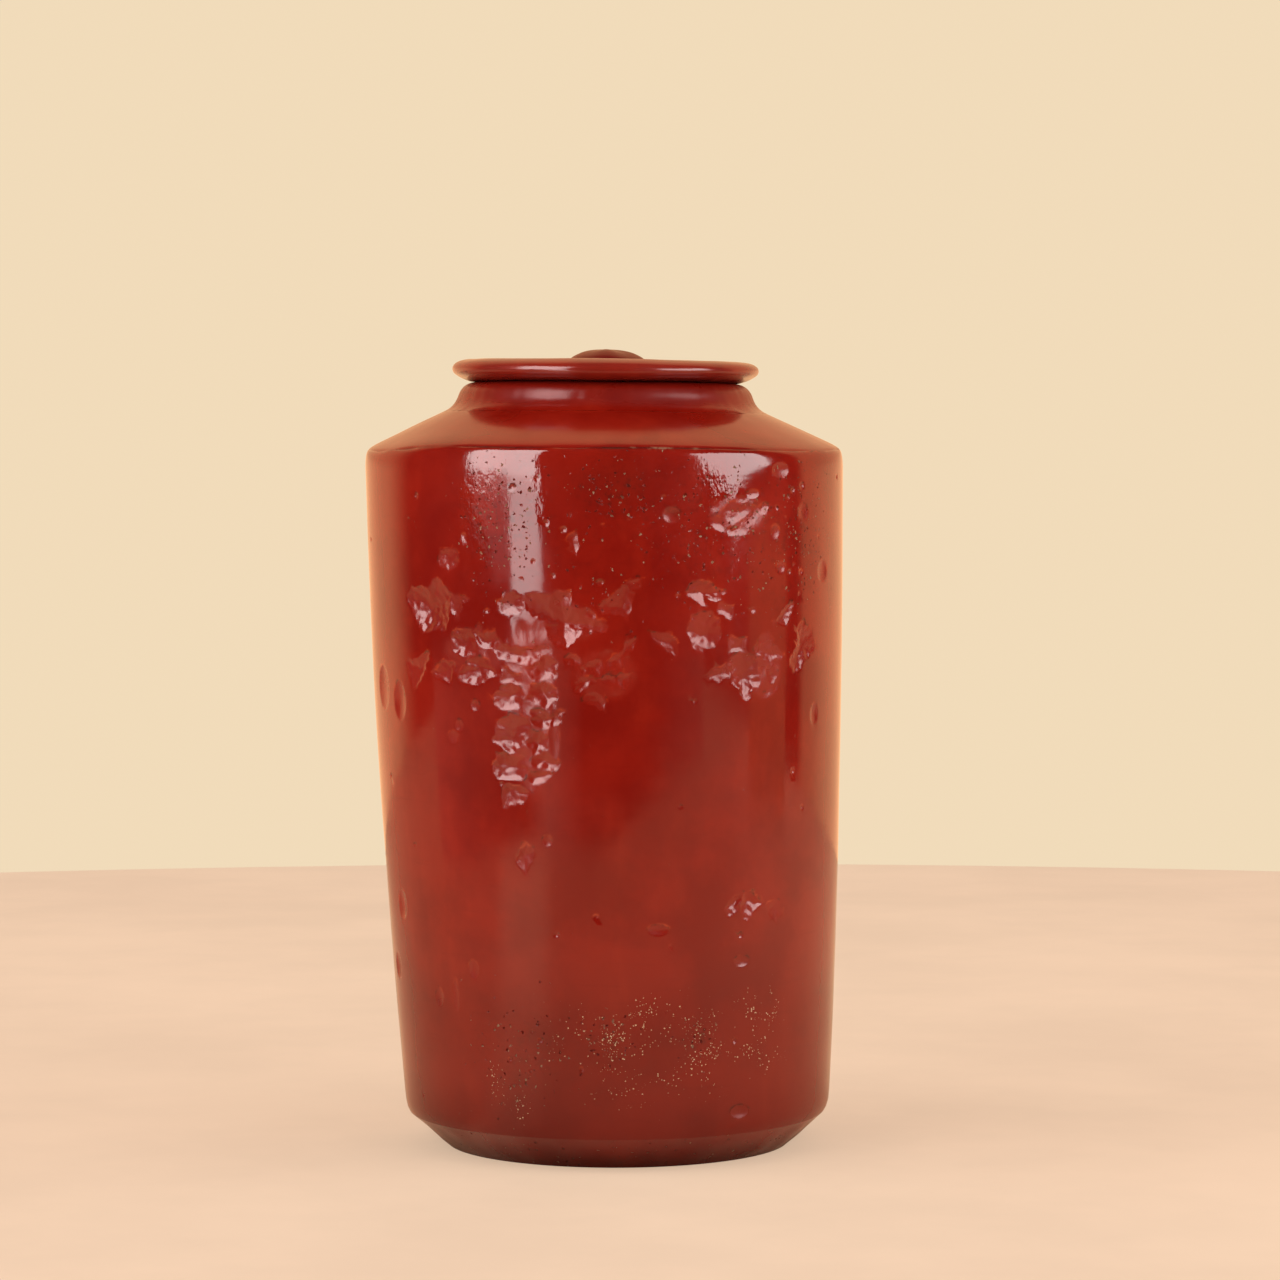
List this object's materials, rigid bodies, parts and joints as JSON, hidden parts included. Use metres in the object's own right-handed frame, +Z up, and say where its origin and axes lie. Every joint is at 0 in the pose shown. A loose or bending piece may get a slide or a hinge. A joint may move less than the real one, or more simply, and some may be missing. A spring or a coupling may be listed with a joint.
{
  "type": "lidded clay canister",
  "caption": "Tapered clay storage canister with a bevelled foot, sloping shoulder, low neck and a lift-off saucer lid with a button knob, glossy red all over.",
  "frame": {"origin": "on the surface the canister stands on, below the centre of the shoulder, neck and lid", "axes": "+Z up along the lid's way off, -Y towards the side seen in the picture, +X to that side's right; the foot's centre stands 4.3 mm to +X"},
  "size_m": [0.1676, 0.1676, 0.2791],
  "materials": {
    "red_glaze": "glossy deep red coat over fired clay, with flaked patches, small pits and a few dust-filled pinholes",
    "bare_clay": "bare fired buff-brown clay, fine grit"
  },
  "bodies": {
    "jar": {"base_disc": "red_glaze", "body_wall": "red_glaze", "shoulder_ring": "red_glaze", "neck_collar": "red_glaze"},
    "lid": {"lid_plate": "red_glaze", "lid_flange": "bare_clay", "lid_knob": "red_glaze"}
  },
  "joints": [
    {"name": "lid_lift", "type": "slide", "parent": "jar", "child": "lid", "axis": [0, 0, 1], "range_m": [0, 0.12]}
  ]
}
